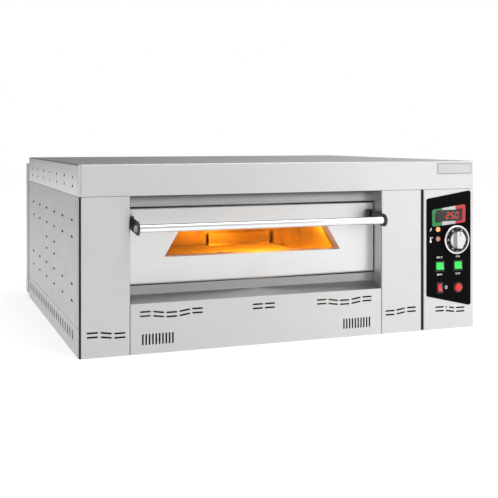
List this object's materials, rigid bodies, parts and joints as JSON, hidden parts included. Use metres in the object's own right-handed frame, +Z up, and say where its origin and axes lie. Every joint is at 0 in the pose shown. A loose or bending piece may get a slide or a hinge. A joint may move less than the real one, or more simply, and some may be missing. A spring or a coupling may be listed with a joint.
{
  "type": "deck oven",
  "caption": "Single-chamber gas deck oven in brushed steel with a drop-down glazed door, tube handle, stone deck and a side control panel.",
  "frame": {"origin": "middle of the four stand bolt holes, on the underside of the base tray", "axes": "+X to the right seen from the front, -Y out of the front, +Z up"},
  "size_m": [1, 0.989, 0.42],
  "materials": {
    "casing_steel": "brushed",
    "chamber_steel": "satin",
    "galvanised_steel": "matt",
    "chrome": "polished",
    "black_plastic": "satin",
    "grey_plastic": "satin",
    "control_label": "gloss",
    "dark_window": "gloss",
    "oven_glass": "clear",
    "orange_lens": "gloss",
    "green_lens": "gloss",
    "red_lens": "gloss",
    "silver_knob": "satin",
    "stone": "matt",
    "ceramic": "matt",
    "insulation": "fibrous",
    "brass": "machined",
    "gasket": "matt",
    "cast_valve": "cast",
    "circuit_board": "matt",
    "spring_steel": "drawn"
  },
  "bodies": {
    "oven": {"base_tray": "galvanised_steel", "base_skirts": "casing_steel", "front_pillar_left": "casing_steel", "front_pillar_right": "casing_steel", "control_box_front": "casing_steel", "lower_front_panel": "casing_steel", "recess_header": "casing_steel", "top_fascia": "casing_steel", "top_cover": "casing_steel", "side_panel_left": "casing_steel", "side_panel_right": "casing_steel", "rear_panel": "galvanised_steel", "rear_cover": "casing_steel", "badge_plate": "casing_steel", "control_bulkhead": "galvanised_steel", "chamber_front_frame": "chamber_steel", "chamber_shell": "chamber_steel", "chamber_rear_wall": "chamber_steel", "rear_baffle": "chamber_steel", "deck_stones": "stone", "stone_support": "chamber_steel", "insulation_blankets": "insulation", "flue_duct": "galvanised_steel", "lamp_housing": "ceramic", "lamp_glass": "oven_glass", "temperature_probe": "chamber_steel", "burner_tubes": "chamber_steel", "gas_manifold": "galvanised_steel", "gas_injectors": "brass", "gas_valve": "cast_valve", "gas_inlet_fitting": "brass", "electrodes": "ceramic", "burner_controller": "black_plastic", "terminal_block": "grey_plastic", "cable_gland": "black_plastic", "thermostat_body": "galvanised_steel", "display_module": "circuit_board", "display_window": "dark_window", "control_label": "control_label", "indicator_lamps": "orange_lens", "switch_housings": "black_plastic", "hinge_bushes": "brass", "door_springs": "spring_steel"},
    "door": {"door_outer_skin": "casing_steel", "door_inner_skin": "chamber_steel", "door_insulation": "insulation", "window_frame": "casing_steel", "window_gasket": "gasket", "window_glass": "oven_glass", "hinge_pins": "galvanised_steel", "handle_tube": "chrome", "handle_brackets": "black_plastic", "handle_end_caps": "grey_plastic", "handle_screws": "galvanised_steel"},
    "knob": {"knob_grip": "silver_knob", "knob_skirt": "chrome"},
    "burner_switch": {"burner_rocker": "green_lens"},
    "power_switch": {"power_rocker": "green_lens"},
    "light_switch": {"light_rocker": "red_lens"},
    "reset_push": {"reset_button": "red_lens"}
  },
  "joints": [
    {"name": "door_hinge", "type": "hinge", "parent": "oven", "child": "door", "pos_m": [-0.07525, -0.374, 0.1555], "axis": [1, 0, 0], "range_deg": [0, 90], "stiffness_Nm_per_rad": 0.8, "springref_deg": -20.05},
    {"name": "knob_turn", "type": "hinge", "parent": "oven", "child": "knob", "pos_m": [0.4445, -0.425, 0.223], "axis": [0, 1, 0], "range_deg": [0, 300]},
    {"name": "burner_switch_tilt", "type": "hinge", "parent": "oven", "child": "burner_switch", "pos_m": [0.401, -0.4189, 0.157], "axis": [1, 0, 0], "range_deg": [0, 16]},
    {"name": "power_switch_tilt", "type": "hinge", "parent": "oven", "child": "power_switch", "pos_m": [0.454, -0.4189, 0.157], "axis": [1, 0, 0], "range_deg": [0, 16]},
    {"name": "light_switch_tilt", "type": "hinge", "parent": "oven", "child": "light_switch", "pos_m": [0.401, -0.4189, 0.103], "axis": [1, 0, 0], "range_deg": [0, 16]},
    {"name": "reset_travel", "type": "slide", "parent": "oven", "child": "reset_push", "axis": [0, 1, 0], "range_m": [0, 0.003], "stiffness_N_per_m": 300, "springref_m": -0.001}
  ]
}
